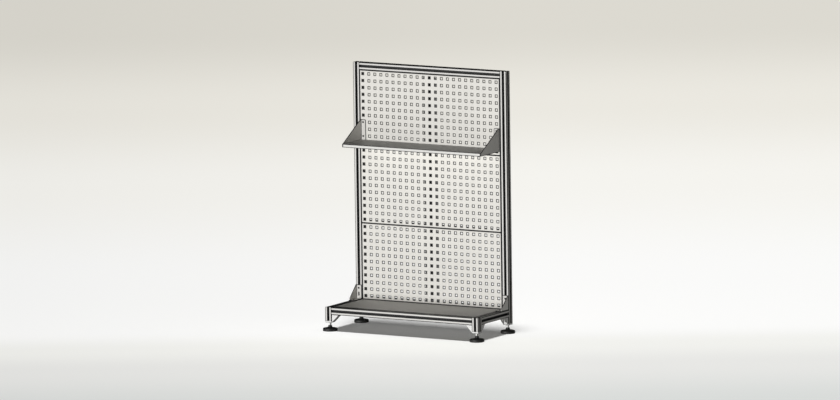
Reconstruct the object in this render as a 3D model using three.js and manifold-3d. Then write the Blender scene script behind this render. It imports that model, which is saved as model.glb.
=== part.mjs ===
// Gondola shelving unit: a free-standing display stand of slotted aluminium profile, with three
// perforated tray panels, one bracketed shelf, a base deck and four adjustable levelling feet.
// Millimetres, +Z up, front towards -Y, origin on the floor at the centre of the four feet.

import * as THREE from 'three';
import { mergeGeometries, mergeVertices } from 'three/addons/utils/BufferGeometryUtils.js';
import Module from 'manifold-3d';

const wasm = await Module();
wasm.setup();

// ---------------------------------------------------------------- driving dimensions

const GAP = 0.3;                    // clearance between pieces that touch
const PROFILE = 40;                 // side of the square profile
const FRAME_WIDTH = 960;            // over both uprights
const FRAME_DEPTH = 376;            // front face of the legs to the back of the uprights
const FRAME_HEIGHT = 1434;          // floor to the top of the uprights
const LEG_BOTTOM = 47;              // floor to the underside of the foot plates
const BASE_TOP = 131;               // floor to the top of the base rails
const FOOT_PLATE = 10;              // thickness of a foot plate

const AXIS_X = (FRAME_WIDTH - PROFILE) / 2;
const AXIS_Y = (FRAME_DEPTH - PROFILE) / 2;
const INNER_WIDTH = FRAME_WIDTH - 2 * PROFILE;
const RAIL_Z = BASE_TOP - PROFILE / 2;
const UPRIGHT_FRONT = AXIS_Y - PROFILE / 2;
const LEG_BACK = -UPRIGHT_FRONT;

// slotted profile section
const SLOT_WIDTH = 8.2;             // mouth of a slot
const SLOT_LIP = 4.5;               // thickness of the lips beside the mouth
const SLOT_INNER = 20.5;            // widest part of the slot
const SLOT_DEPTH = 12;              // mouth to the floor of the slot
const SLOT_FLOOR = 10.4;            // width of the slot floor
const SLOT_SHOULDER = 2.3;          // straight side below the lips
const EDGE_CHAMFER = 1.5;
const CORE_BORE = 3.4;              // radius of the bore along the core

// perforated tray panels
const HOLE_PITCH = 38;
const HOLE_SIZE = 10;
const HOLE_COLUMNS = 23;
const HOLE_ROWS = 11;
const PANEL_MARGIN = 20;            // outer hole centres to the panel edge
const PANEL_WIDTH = (HOLE_COLUMNS - 1) * HOLE_PITCH + 2 * PANEL_MARGIN;
const PANEL_HEIGHT = (HOLE_ROWS - 1) * HOLE_PITCH + 2 * PANEL_MARGIN;
const PANEL_SEAM = 0.66;            // between one panel and the next
const PANEL_BOTTOM = BASE_TOP + 1;
const PANEL_FRONT = UPRIGHT_FRONT - 1;
const PANEL_DEPTH = 20;
const PANEL_SHEET = 1.5;
const PANEL_LIP = 16;               // width of the lip folded in at the back
const PANEL_CORNER = 6;
const BOTTOM_ROW = PANEL_BOTTOM + PANEL_MARGIN;

// hat-section stiffener behind each panel
const HAT_WIDTH = 82;
const HAT_CROWN = 40;
const HAT_DEPTH = 17;
const HAT_SHEET = 1.5;

// shelf and its brackets
const SHELF_TOP = 1011.5;
const SHELF_DEPTH = 200;
const SHELF_LIP = 18;               // height of the folded front edge
const SHELF_SHEET = 2;
const SHELF_BACK = PANEL_FRONT - 4;
const BRACKET_SHEET = 3;
const BRACKET_OUTER = 434;          // centre line of the unit to the outside of a shelf bracket
const BRACKET_TOP = 1122;
const BRACKET_BOTTOM = 994;
const BRACKET_FLANGE = 32;          // overall width of the flange that is bolted to the panel
const BRACKET_LEDGE = 26;           // width of the ledge under the shelf
const BRACKET_NOSE = 16;            // height of the front edge of the web
const BRACKET_TIP = 8;              // length of the level edge at the top of the web
const BRACKET_CORNER = 6;           // corner radius of the flange
const LEDGE_SETBACK = 4;            // front of the web to the front of the ledge
const LEDGE_NOTCH_GAP = 1;          // round the ledges, in the folds of the shelf
const SHELF_BOLT_ROWS = [24, 26];   // rows of panel holes that the bolts go through, from below

// gusset brackets between the uprights and the side rails
const GUSSET_WIDTH = 36;
const GUSSET_HEIGHT = 79;
const GUSSET_LENGTH = 82;
const GUSSET_SHEET = 4;
const GUSSET_HOLE_FROM_CORNER = 61;
const GUSSET_SLOT_FROM_CORNER = 28.5;
const GUSSET_SLOT_LENGTH = 23;
const GUSSET_TIP = 7;               // width of the web's square ends beyond the sheet
const GUSSET_SETBACK = 5;           // front of the foot to the front of the web

// cast corner brackets under the base rails
const CORNER_SIZE = 40;
const CORNER_WIDTH = 32;
const CORNER_WALL = 4;
const CORNER_HOLE = 22;             // inside corner to the middle of each hole
const BRACKET_HOLE = 8.4;           // bolt holes and slots of the gussets and corner brackets

// fasteners
const BOLT_RADIUS = 3;
const BOLT_HEAD_RADIUS = 5.25;
const BOLT_HEAD_HEIGHT = 3.3;
const BOLT_REACH = 11;              // shelf bolt, underside of the head to its end
const BOLT_CROWN = 2.85;            // radius of the flat on top of a bolt head
const BOLT_SOCKET = 2;              // radius over the corners of the socket in a bolt head
const BOLT_SOCKET_DEPTH = 1.8;
const SCREW_REACH = 14;             // gusset screw, underside of the head to its end
const NUT_HEIGHT = 5;
const NUT_RADIUS = 5.77;            // over the corners
const NUT_FLANGE_RADIUS = 7.1;
const NUT_FLANGE = 1.2;
const SLOT_NUT = { width: 7.6, wing: 16, body: 4, length: 20, recess: 0.5 };

// levelling feet
const PAD_RADIUS = 40;
const PAD_RIM = 12.5;
const COLLAR_TOP = 30;
const BALL_HEIGHT = 16;             // floor to the centre of the ball
const BALL_RADIUS = 7;
const CUP_RADIUS = 9.3;
const CUP_ANGLE = 55;               // half-angle of the cup's opening, in degrees
const NECK_RADIUS = 4.5;
const COLLAR_MOUTH = 7.5;           // radius of the collar's opening, which lets the neck tilt
const HEX_RADIUS = 8.1;             // over the corners of the spanner hexagon
const HEX_BOTTOM = 33;
const HEX_TOP = 43;
const THREAD_RADIUS = 6;
const SPINDLE_TOP = 100;
const SPINDLE_BORE = 6.6;

// base deck
const DECK_SHEET = 2;
const DECK_FOLD = 30;               // height of the folded edges
const DECK_SIDE_GAP = 1;

// ---------------------------------------------------------------- finishes

const finish = (color, roughness, metalness) =>
  new THREE.MeshStandardMaterial({ color, roughness, metalness });

const ALUMINIUM = finish(0xc8c4be, 0.45, 0.8);
const CAST = finish(0xbfbcb7, 0.6, 0.7);
const PANEL_PAINT = finish(0xe2e1db, 0.55, 0);
const SHELF_PAINT = finish(0xd9d7d1, 0.5, 0);
const BRACKET_PAINT = finish(0xdad7d0, 0.5, 0);
const ZINC = finish(0xa9a9a6, 0.4, 0.9);
const BLACK_STEEL = finish(0x1c1c1c, 0.5, 0.6);
const BLACK_PLASTIC = finish(0x191918, 0.6, 0);
const CUP_PLASTIC = finish(0x3a3a38, 0.5, 0);

// ---------------------------------------------------------------- helpers

const unit = new THREE.Group();

/** Adds one named piece. */
function place(name, geometry, material, position = [0, 0, 0]) {
  const mesh = new THREE.Mesh(geometry, material);
  mesh.name = name;
  mesh.position.set(...position);
  unit.add(mesh);
}

/** A closed three.js geometry as a manifold solid. */
function solid(geometry) {
  const bare = geometry.index ? geometry.toNonIndexed() : geometry.clone();
  bare.deleteAttribute('normal');
  bare.deleteAttribute('uv');
  const welded = mergeVertices(bare, 1e-4);
  return new wasm.Manifold(new wasm.Mesh({
    numProp: 3,
    vertProperties: new Float32Array(welded.attributes.position.array),
    triVerts: new Uint32Array(welded.index.array),
  }));
}

/** A manifold solid back as a three.js geometry. */
function geometryOf(manifold) {
  const mesh = manifold.getMesh();
  const geometry = new THREE.BufferGeometry();
  geometry.setAttribute('position', new THREE.BufferAttribute(mesh.vertProperties, 3));
  geometry.setIndex(new THREE.BufferAttribute(mesh.triVerts, 1));
  return geometry;
}

const join = (first, ...others) =>
  geometryOf(others.reduce((whole, part) => whole.add(solid(part)), solid(first)));
const cut = (body, ...tools) =>
  geometryOf(tools.reduce((whole, tool) => whole.subtract(solid(tool)), solid(body)));

/** A block between two corners. */
function block([x0, y0, z0], [x1, y1, z1]) {
  const geometry = new THREE.BoxGeometry(x1 - x0, y1 - y0, z1 - z0);
  return geometry.translate((x0 + x1) / 2, (y0 + y1) / 2, (z0 + z1) / 2);
}

/** A closed outline of [a, b] points pulled along Z by depth. */
function prism(points, depth, holes = []) {
  const shape = new THREE.Shape(points.map(([a, b]) => new THREE.Vector2(a, b)));
  shape.holes = holes;
  return new THREE.ExtrudeGeometry(shape, { depth, bevelEnabled: false, curveSegments: 4 });
}

/** A rod along Z from z0 to z1. */
function rod(radius, z0, z1, sides = 12, turn = 0) {
  const geometry = new THREE.CylinderGeometry(radius, radius, z1 - z0, sides, 1, false, turn);
  return geometry.rotateX(Math.PI / 2).translate(0, 0, (z0 + z1) / 2);
}

/** A turned piece: [radius, height] points, closed on the axis or on themselves. */
function turned(profile, sides) {
  const points = profile.map(([r, z]) => new THREE.Vector2(r, z));
  return new THREE.LatheGeometry(points, sides).rotateX(Math.PI / 2);
}

/** Points of an arc about a centre on the axis, from one polar angle to another. */
function polarArc(radius, height, from, to, steps) {
  return Array.from({ length: steps + 1 }, (_, i) => {
    const angle = THREE.MathUtils.degToRad(from + (to - from) * i / steps);
    return [Math.abs(radius * Math.sin(angle)), height + radius * Math.cos(angle)];
  });
}

/** A rectangle with rounded corners, centred, pulled along Z. */
function roundedPlate(width, height, radius, depth) {
  const shape = new THREE.Shape();
  const [x, y] = [width / 2, height / 2];
  shape.moveTo(-x + radius, -y);
  shape.lineTo(x - radius, -y).absarc(x - radius, -y + radius, radius, -Math.PI / 2, 0);
  shape.lineTo(x, y - radius).absarc(x - radius, y - radius, radius, 0, Math.PI / 2);
  shape.lineTo(-x + radius, y).absarc(-x + radius, y - radius, radius, Math.PI / 2, Math.PI);
  shape.lineTo(-x, -y + radius).absarc(-x + radius, -y + radius, radius, Math.PI, 1.5 * Math.PI);
  return new THREE.ExtrudeGeometry(shape, { depth, bevelEnabled: false, curveSegments: 2 });
}

/** A slot with round ends along X, pulled along Z: a cutting tool. */
function slotTool(length, width, depth) {
  const shape = new THREE.Shape();
  const reach = (length - width) / 2;
  shape.absarc(reach, 0, width / 2, -Math.PI / 2, Math.PI / 2);
  shape.absarc(-reach, 0, width / 2, Math.PI / 2, 1.5 * Math.PI);
  return new THREE.ExtrudeGeometry(shape, { depth, bevelEnabled: false, curveSegments: 3 });
}

const mirrored = (geometry) => geometryOf(solid(geometry).mirror([1, 0, 0]));
const SIDES = [['left', -1], ['right', 1]];
const ENDS = [['front', -1], ['rear', 1]];

// ---------------------------------------------------------------- slotted profile

/** One quarter of the section, from a corner chamfer through the slot in the +X side. */
function profileQuarter() {
  const face = PROFILE / 2;
  const half = [
    [face, SLOT_WIDTH / 2],
    [face - SLOT_LIP, SLOT_WIDTH / 2],
    [face - SLOT_LIP, SLOT_INNER / 2],
    [face - SLOT_LIP - SLOT_SHOULDER, SLOT_INNER / 2],
    [face - SLOT_DEPTH, SLOT_FLOOR / 2],
  ];
  const lower = half.map(([x, y]) => [x, -y]);
  return [
    [face - EDGE_CHAMFER, -face],
    [face, -face + EDGE_CHAMFER],
    ...lower,
    ...half.reverse(),
  ];
}

/** A length of profile along Z, from 0 up. */
function profile(length, bored) {
  const points = [];
  for (let side = 0; side < 4; side += 1) {
    const angle = side * Math.PI / 2;
    for (const [x, y] of profileQuarter()) {
      points.push([
        x * Math.cos(angle) - y * Math.sin(angle),
        x * Math.sin(angle) + y * Math.cos(angle),
      ]);
    }
  }
  const bore = new THREE.Path().absarc(0, 0, CORE_BORE, 0, 2 * Math.PI, true);
  return prism(points, length, bored ? [bore] : []);
}

/** A leg or upright whose core is opened out at the bottom for the spindle of its foot. */
function post(length) {
  const room = SPINDLE_TOP + 10 - LEG_BOTTOM - FOOT_PLATE;
  return cut(profile(length, true), rod(SPINDLE_BORE, -1, Math.min(room, length - 12)));
}

const postBottom = LEG_BOTTOM + FOOT_PLATE + GAP;
const alongX = (geometry) => geometry.rotateY(Math.PI / 2);
const alongY = (geometry) => geometry.rotateX(-Math.PI / 2);

for (const [side, sign] of SIDES) {
  place(`upright_${side}`, post(FRAME_HEIGHT - postBottom), ALUMINIUM,
    [sign * AXIS_X, AXIS_Y, postBottom]);
  place(`front_leg_${side}`, post(BASE_TOP - postBottom), ALUMINIUM,
    [sign * AXIS_X, -AXIS_Y, postBottom]);
  place(`base_rail_${side}`, alongY(profile(UPRIGHT_FRONT - LEG_BACK - 2 * GAP, false)),
    ALUMINIUM, [sign * AXIS_X, LEG_BACK + GAP, RAIL_Z]);
}
for (const [name, y, z] of [
  ['base_rail_front', -AXIS_Y, RAIL_Z],
  ['base_rail_rear', AXIS_Y, RAIL_Z],
  ['top_rail', AXIS_Y, FRAME_HEIGHT - PROFILE / 2],
]) {
  place(name, alongX(profile(INNER_WIDTH - 2 * GAP, false)), ALUMINIUM,
    [-INNER_WIDTH / 2 + GAP, y, z]);
}

// ---------------------------------------------------------------- levelling feet

/** Square plate with a threaded hole, which closes the bottom of a leg and takes the spindle. */
function footPlate() {
  const [side, corner] = [PROFILE / 2, PROFILE / 2 - EDGE_CHAMFER];
  const outline = [
    [side, -corner], [side, corner], [corner, side], [-corner, side],
    [-side, corner], [-side, -corner], [-corner, -side], [corner, -side],
  ];
  return cut(prism(outline, FOOT_PLATE), rod(THREAD_RADIUS + GAP, -1, FOOT_PLATE + 1));
}

/** Round black base with a domed top, a collar, and a round socket for the ball cup. */
function footPad() {
  return turned([
    [0, 0],
    [PAD_RADIUS - 1.5, 0],
    [PAD_RADIUS, 1.5],
    [PAD_RADIUS, PAD_RIM],
    [PAD_RADIUS - 2, PAD_RIM + 2.5],
    [27, 17.5],
    [13.5, 20.5],
    [11.5, 23],
    [10.4, COLLAR_TOP],
    [COLLAR_MOUTH, COLLAR_TOP],
    ...polarArc(CUP_RADIUS + 2 * GAP, BALL_HEIGHT, CUP_ANGLE, 180, 4),
  ], 20);
}

/** Plastic cup between the ball and the pad. */
function ballCup() {
  return turned([
    ...polarArc(CUP_RADIUS, BALL_HEIGHT, 180, CUP_ANGLE, 3),
    ...polarArc(BALL_RADIUS + GAP, BALL_HEIGHT, CUP_ANGLE, 180, 3),
  ], 12);
}

/** Ball, neck, spanner hexagon and threaded rod in one turned piece. */
function spindle() {
  const shaft = turned([
    ...polarArc(BALL_RADIUS, BALL_HEIGHT, 180, CUP_ANGLE, 3),
    [NECK_RADIUS, BALL_HEIGHT + Math.sqrt(BALL_RADIUS ** 2 - NECK_RADIUS ** 2)],
    [NECK_RADIUS, HEX_BOTTOM + 1],
    [THREAD_RADIUS, HEX_BOTTOM + 1],
    [THREAD_RADIUS, SPINDLE_TOP - 1.5],
    [THREAD_RADIUS - 1.5, SPINDLE_TOP],
    [0, SPINDLE_TOP],
  ], 10);
  return join(shaft, rod(HEX_RADIUS, HEX_BOTTOM, HEX_TOP, 6));
}

for (const [end, endSign] of ENDS) {
  for (const [side, sign] of SIDES) {
    const [x, y] = [sign * AXIS_X, endSign * AXIS_Y];
    place(`foot_plate_${end}_${side}`, footPlate(), ALUMINIUM, [x, y, LEG_BOTTOM]);
    place(`foot_pad_${end}_${side}`, footPad(), BLACK_PLASTIC, [x, y, 0]);
    place(`foot_cup_${end}_${side}`, ballCup(), CUP_PLASTIC, [x, y, 0]);
    place(`foot_spindle_${end}_${side}`, spindle(), ZINC, [x, y, 0]);
  }
}

// ---------------------------------------------------------------- perforated panels

/** Square holes on the panel's grid, as one cutting tool. */
function holeGrid(depth) {
  const holes = [];
  for (let column = 0; column < HOLE_COLUMNS; column += 1) {
    for (let row = 0; row < HOLE_ROWS; row += 1) {
      const hole = new THREE.BoxGeometry(HOLE_SIZE, HOLE_SIZE, depth);
      holes.push(hole.translate(
        (column - (HOLE_COLUMNS - 1) / 2) * HOLE_PITCH,
        (row - (HOLE_ROWS - 1) / 2) * HOLE_PITCH,
        0,
      ));
    }
  }
  return mergeGeometries(holes);
}

/** Folded tray: face sheet, four sides and lips folded in at the back; face down on Z = 0. */
function tray() {
  const inset = 2 * PANEL_SHEET;
  const body = roundedPlate(PANEL_WIDTH, PANEL_HEIGHT, PANEL_CORNER, PANEL_DEPTH);
  const pocket = roundedPlate(PANEL_WIDTH - inset, PANEL_HEIGHT - inset,
    PANEL_CORNER - PANEL_SHEET, PANEL_DEPTH - inset).translate(0, 0, PANEL_SHEET);
  const mouth = block(
    [-PANEL_WIDTH / 2 + PANEL_LIP, -PANEL_HEIGHT / 2 + PANEL_LIP, PANEL_DEPTH / 2],
    [PANEL_WIDTH / 2 - PANEL_LIP, PANEL_HEIGHT / 2 - PANEL_LIP, PANEL_DEPTH + 1],
  );
  return cut(body, pocket, mouth, holeGrid(4 * PANEL_SHEET));
}

/** Hat-section strip, standing along Y, its brims against Z = 0. */
function hat() {
  const [half, crown, sheet] = [HAT_WIDTH / 2, HAT_CROWN / 2, HAT_SHEET];
  const length = PANEL_HEIGHT - 2 * PANEL_LIP - 2;
  const outline = [
    [-half, 0], [-crown + sheet, 0], [-crown + sheet, HAT_DEPTH - sheet],
    [crown - sheet, HAT_DEPTH - sheet], [crown - sheet, 0], [half, 0],
    [half, sheet], [crown, sheet], [crown, HAT_DEPTH],
    [-crown, HAT_DEPTH], [-crown, sheet], [-half, sheet],
  ];
  return prism(outline, length).rotateX(Math.PI / 2).translate(0, length / 2, 0);
}

/** Stands a piece that lies face down on Z = 0 upright, its face towards -Y. */
const stand = (geometry) => geometry.rotateX(-Math.PI / 2);

for (const [index, level] of ['lower', 'middle', 'upper'].entries()) {
  const z = PANEL_BOTTOM + PANEL_HEIGHT / 2 + index * (PANEL_HEIGHT + PANEL_SEAM);
  place(`panel_${level}`, stand(tray()), PANEL_PAINT, [0, PANEL_FRONT, z]);
  place(`panel_stiffener_${level}`, stand(hat()), PANEL_PAINT,
    [0, PANEL_FRONT + PANEL_SHEET + GAP, z]);
}

// ---------------------------------------------------------------- fasteners

/** Round-headed bolt along +Y with a hexagon socket; the head's underside is at Y = 0. */
function bolt(reach) {
  const body = turned([
    [0, -reach],
    [BOLT_RADIUS, -reach],
    [BOLT_RADIUS, 0],
    [BOLT_HEAD_RADIUS, 0],
    [(3 * BOLT_HEAD_RADIUS + BOLT_CROWN) / 4, BOLT_HEAD_HEIGHT * 0.6],
    [BOLT_CROWN, BOLT_HEAD_HEIGHT],
    [0, BOLT_HEAD_HEIGHT],
  ], 10);
  const socket = rod(BOLT_SOCKET, BOLT_HEAD_HEIGHT - BOLT_SOCKET_DEPTH, BOLT_HEAD_HEIGHT + 1, 6);
  return cut(body, socket).rotateX(Math.PI / 2);
}

/** Flanged hexagon nut along +Y, its flange against Y = 0. */
function flangeNut() {
  const body = join(rod(NUT_RADIUS, 0, NUT_HEIGHT, 6), rod(NUT_FLANGE_RADIUS, 0, NUT_FLANGE, 10));
  return cut(body, rod(BOLT_RADIUS + GAP, -1, NUT_HEIGHT + 1, 8)).rotateX(-Math.PI / 2);
}

/** Slot nut along +Y: the neck fills the slot mouth, the wings sit behind the lips. */
function slotNut() {
  const { width, wing, body, length, recess } = SLOT_NUT;
  const neck = SLOT_LIP + GAP;
  const outline = [
    [-width / 2, recess], [width / 2, recess], [width / 2, neck], [wing / 2, neck],
    [width / 2, neck + body], [-width / 2, neck + body], [-wing / 2, neck], [-width / 2, neck],
  ];
  return cut(prism(outline, length).translate(0, 0, -length / 2),
    rod(BOLT_RADIUS + GAP, -1, neck + body + 1, 8).rotateX(-Math.PI / 2));
}

// ---------------------------------------------------------------- shelf

const boltRowHeight = (row) => {
  const panel = Math.floor((row - 1) / HOLE_ROWS);
  return BOTTOM_ROW + (row - 1) * HOLE_PITCH + panel * (2 * PANEL_MARGIN + PANEL_SEAM - HOLE_PITCH);
};
const boltHeights = SHELF_BOLT_ROWS.map(boltRowHeight);
const outerColumn = (HOLE_COLUMNS - 1) / 2 * HOLE_PITCH;
const webInside = BRACKET_OUTER - BRACKET_SHEET;

/** Bracket at the +X end: web, flange bolted to the panel, and ledge under the shelf. */
function shelfBracket() {
  const back = PANEL_FRONT - GAP;
  const front = SHELF_BACK - SHELF_DEPTH;
  const web = prism([
    [back, BRACKET_BOTTOM],
    [back, BRACKET_TOP],
    [back - BRACKET_TIP, BRACKET_TOP],
    [front, BRACKET_BOTTOM + BRACKET_NOSE],
    [front, BRACKET_BOTTOM],
  ], BRACKET_SHEET).rotateX(Math.PI / 2).rotateZ(Math.PI / 2).translate(webInside, 0, 0);
  const flange = roundedPlate(BRACKET_FLANGE, BRACKET_TOP - BRACKET_BOTTOM, BRACKET_CORNER,
    BRACKET_SHEET)
    .rotateX(Math.PI / 2)
    .translate(BRACKET_OUTER - BRACKET_FLANGE / 2, back, (BRACKET_TOP + BRACKET_BOTTOM) / 2);
  const corner = block([webInside - BRACKET_CORNER, back - BRACKET_SHEET, BRACKET_BOTTOM],
    [BRACKET_OUTER, back, BRACKET_TOP]);
  const ledge = block([BRACKET_OUTER - BRACKET_LEDGE, front + LEDGE_SETBACK, BRACKET_BOTTOM],
    [BRACKET_OUTER, back, BRACKET_BOTTOM + BRACKET_SHEET]);
  const bores = boltHeights.map((height) =>
    rod(BOLT_RADIUS + 0.5, -10, 10, 8).rotateX(Math.PI / 2).translate(outerColumn, back, height));
  return cut(join(web, flange, corner, ledge), ...bores);
}

/** Folded pan: flat top, front lip, sides and rear fold, notched over the bracket ledges. */
function shelfPan() {
  const half = webInside - GAP;
  const front = SHELF_BACK - SHELF_DEPTH;
  const bottom = SHELF_TOP - SHELF_LIP;
  const body = block([-half, front, bottom], [half, SHELF_BACK, SHELF_TOP]);
  const pocket = block([-half + SHELF_SHEET, front + SHELF_SHEET, bottom - 1],
    [half - SHELF_SHEET, SHELF_BACK - SHELF_SHEET, SHELF_TOP - SHELF_SHEET]);
  const notches = SIDES.map(([, sign]) => {
    const inner = BRACKET_OUTER - BRACKET_LEDGE - LEDGE_NOTCH_GAP;
    const [x0, x1] = [sign * inner, sign * (half + 1)].sort((a, b) => a - b);
    return block([x0, front + LEDGE_SETBACK - LEDGE_NOTCH_GAP, bottom - 1],
      [x1, SHELF_BACK + 1, BRACKET_BOTTOM + BRACKET_SHEET + GAP]);
  });
  return cut(body, pocket, ...notches);
}

place('shelf', shelfPan(), SHELF_PAINT);
for (const [side, sign] of SIDES) {
  const bracket = sign < 0 ? mirrored(shelfBracket()) : shelfBracket();
  place(`shelf_bracket_${side}`, bracket, BRACKET_PAINT);
  for (const [index, level] of ['lower', 'upper'].entries()) {
    const z = boltHeights[index];
    place(`shelf_bolt_${side}_${level}`, bolt(BOLT_REACH), BLACK_STEEL,
      [sign * outerColumn, PANEL_FRONT - BRACKET_SHEET - 2 * GAP, z]);
    place(`shelf_nut_${side}_${level}`, flangeNut(), ZINC,
      [sign * outerColumn, PANEL_FRONT + PANEL_SHEET + GAP, z]);
  }
}

// ---------------------------------------------------------------- gusset brackets

/** Gusset at the +X side, its inside corner at the origin: flange up +Z, foot out to -Y. */
function gusset() {
  const [half, sheet] = [GUSSET_WIDTH / 2, GUSSET_SHEET];
  const flange = block([-half, -sheet, 0], [half, 0, GUSSET_HEIGHT]);
  const foot = block([-half, -GUSSET_LENGTH, 0], [half, 0, sheet]);
  const web = prism([
    [0, 0], [0, GUSSET_HEIGHT], [-GUSSET_TIP, GUSSET_HEIGHT],
    [-GUSSET_LENGTH + GUSSET_SETBACK, sheet + GUSSET_TIP], [-GUSSET_LENGTH + GUSSET_SETBACK, 0],
  ], sheet).rotateX(Math.PI / 2).rotateZ(Math.PI / 2).translate(half - sheet, 0, 0);
  const upHole = rod(BRACKET_HOLE / 2, -1, sheet + 1, 10);
  const upSlot = slotTool(GUSSET_SLOT_LENGTH, BRACKET_HOLE, sheet + 2).translate(0, 0, -1);
  const onFlange = (tool, height) =>
    tool.clone().rotateZ(Math.PI / 2).rotateX(Math.PI / 2).translate(0, 0, height);
  const onFoot = (tool, reach) => tool.clone().rotateZ(Math.PI / 2).translate(0, -reach, 0);
  return cut(join(flange, foot, web),
    onFlange(upHole, GUSSET_HOLE_FROM_CORNER), onFlange(upSlot, GUSSET_SLOT_FROM_CORNER),
    onFoot(upHole, GUSSET_HOLE_FROM_CORNER), onFoot(upSlot, GUSSET_SLOT_FROM_CORNER));
}

for (const [side, sign] of SIDES) {
  const x = sign * AXIS_X;
  const [y, z] = [UPRIGHT_FRONT - GAP, BASE_TOP + GAP];
  place(`gusset_bracket_${side}`, sign < 0 ? mirrored(gusset()) : gusset(), BRACKET_PAINT,
    [x, y, z]);
  const headSeat = GUSSET_SHEET + GAP;
  const height = z + GUSSET_HOLE_FROM_CORNER;
  place(`gusset_screw_${side}_upright`, bolt(SCREW_REACH), BLACK_STEEL,
    [x, y - headSeat, height]);
  place(`gusset_nut_${side}_upright`, slotNut(), ZINC, [x, UPRIGHT_FRONT, height]);
  place(`gusset_screw_${side}_rail`, bolt(SCREW_REACH).rotateX(-Math.PI / 2), BLACK_STEEL,
    [x, y - GUSSET_HOLE_FROM_CORNER, z + headSeat]);
  place(`gusset_nut_${side}_rail`, slotNut().rotateX(-Math.PI / 2), ZINC,
    [x, y - GUSSET_HOLE_FROM_CORNER, BASE_TOP]);
}

// ---------------------------------------------------------------- corner brackets

/** Cast angle with two ribs, inside corner at the origin, arms along +X and -Z. */
function cornerBracket() {
  const [size, half, wall] = [CORNER_SIZE, CORNER_WIDTH / 2, CORNER_WALL];
  const arms = prism([[0, 0], [0, -size], [wall, -size], [wall, -wall], [size, -wall], [size, 0]],
    CORNER_WIDTH).rotateX(Math.PI / 2).translate(0, half, 0);
  const rib = (y) => prism([[0, 0], [0, -size], [wall, -size], [size, -wall], [size, 0]], wall)
    .rotateX(Math.PI / 2).translate(0, y, 0);
  const bore = rod(BRACKET_HOLE / 2, -2 * wall, 2 * wall, 8);
  const sideBore = bore.clone().rotateY(Math.PI / 2).translate(0, 0, -CORNER_HOLE);
  return cut(join(arms, rib(half), rib(-half + wall)), bore.translate(CORNER_HOLE, 0, 0), sideBore);
}

const underRail = BASE_TOP - PROFILE - GAP;
for (const [side, sign] of SIDES) {
  const inFromLeg = cornerBracket();
  if (sign > 0) inFromLeg.rotateZ(Math.PI);
  place(`corner_bracket_front_${side}`, inFromLeg, CAST,
    [sign * (AXIS_X - PROFILE / 2 - GAP), -AXIS_Y, underRail]);
  for (const [end, endSign] of ENDS) {
    const y = endSign * (UPRIGHT_FRONT - GAP);
    place(`corner_bracket_side_${end}_${side}`,
      cornerBracket().rotateZ(-endSign * Math.PI / 2), CAST, [sign * AXIS_X, y, underRail]);
  }
}

// ---------------------------------------------------------------- base deck

/** Folded pan that lies level with the base rails, inside them. */
function deckPan() {
  const [x, y] = [INNER_WIDTH / 2 - DECK_SIDE_GAP, UPRIGHT_FRONT - DECK_SIDE_GAP];
  const bottom = BASE_TOP - DECK_FOLD;
  return cut(block([-x, -y, bottom], [x, y, BASE_TOP]),
    block([-x + DECK_SHEET, -y + DECK_SHEET, bottom - 1],
      [x - DECK_SHEET, y - DECK_SHEET, BASE_TOP - DECK_SHEET]));
}

place('deck', deckPan(), SHELF_PAINT);

export default unit;
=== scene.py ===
"""Finishes, fine fittings, floor, lights and camera for the gondola shelving unit.

Everything is in metres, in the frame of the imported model: +Z up, the front faces -Y,
and the origin is on the floor at the centre of the four feet.
"""

import functools
import math

import bpy
from mathutils import Matrix, Vector


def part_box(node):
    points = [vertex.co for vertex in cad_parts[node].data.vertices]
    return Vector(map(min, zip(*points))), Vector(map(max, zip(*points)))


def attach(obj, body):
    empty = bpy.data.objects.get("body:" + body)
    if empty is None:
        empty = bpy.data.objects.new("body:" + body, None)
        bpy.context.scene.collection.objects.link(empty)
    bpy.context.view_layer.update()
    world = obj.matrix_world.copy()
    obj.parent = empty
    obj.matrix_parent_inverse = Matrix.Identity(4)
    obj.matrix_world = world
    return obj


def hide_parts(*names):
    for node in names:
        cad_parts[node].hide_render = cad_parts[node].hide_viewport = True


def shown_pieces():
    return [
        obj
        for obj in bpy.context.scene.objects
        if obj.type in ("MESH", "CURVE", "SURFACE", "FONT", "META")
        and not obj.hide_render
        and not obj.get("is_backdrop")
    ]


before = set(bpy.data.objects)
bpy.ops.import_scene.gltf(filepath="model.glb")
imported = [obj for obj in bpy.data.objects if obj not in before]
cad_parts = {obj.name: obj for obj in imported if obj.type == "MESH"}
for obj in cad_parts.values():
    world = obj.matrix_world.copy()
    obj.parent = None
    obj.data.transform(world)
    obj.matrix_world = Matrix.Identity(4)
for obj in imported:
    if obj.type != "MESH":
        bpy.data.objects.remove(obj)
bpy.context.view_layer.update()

MM = 0.001
SIDES = ("left", "right")
ENDS = ("front", "rear")
LEVELS = ("lower", "middle", "upper")
FEET = [f"{end}_{side}" for end in ENDS for side in SIDES]
FRAME_BODY = "frame"

PANEL_LOW, PANEL_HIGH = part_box("panel_lower")
PANEL_BOTTOM = PANEL_LOW.z
PANEL_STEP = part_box("panel_middle")[0].z - PANEL_BOTTOM
PANEL_SHEET = 1.5 * MM
PANEL_MARGIN = 20 * MM                   # panel edge to the middle of the outer holes
HOLE_PITCH = 38 * MM
HOLE_SIZE = 10 * MM
RIM_DARK_WIDTH = 4.7 * MM                      # width of the dark rim round a hole, partly painted shade
RIM_SOLID = 0.7                          # share of that width that is wholly dark
RIM_WOBBLE = 0.3 * MM
TRAY_REACH = 30 * MM                     # how far painted shade from a tray's folds reaches inside it
TRAY_OPENNESS = (0.15, 0.45)             # where that darkening is whole, and gone
TRAY_SHADE = 0.12

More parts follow.
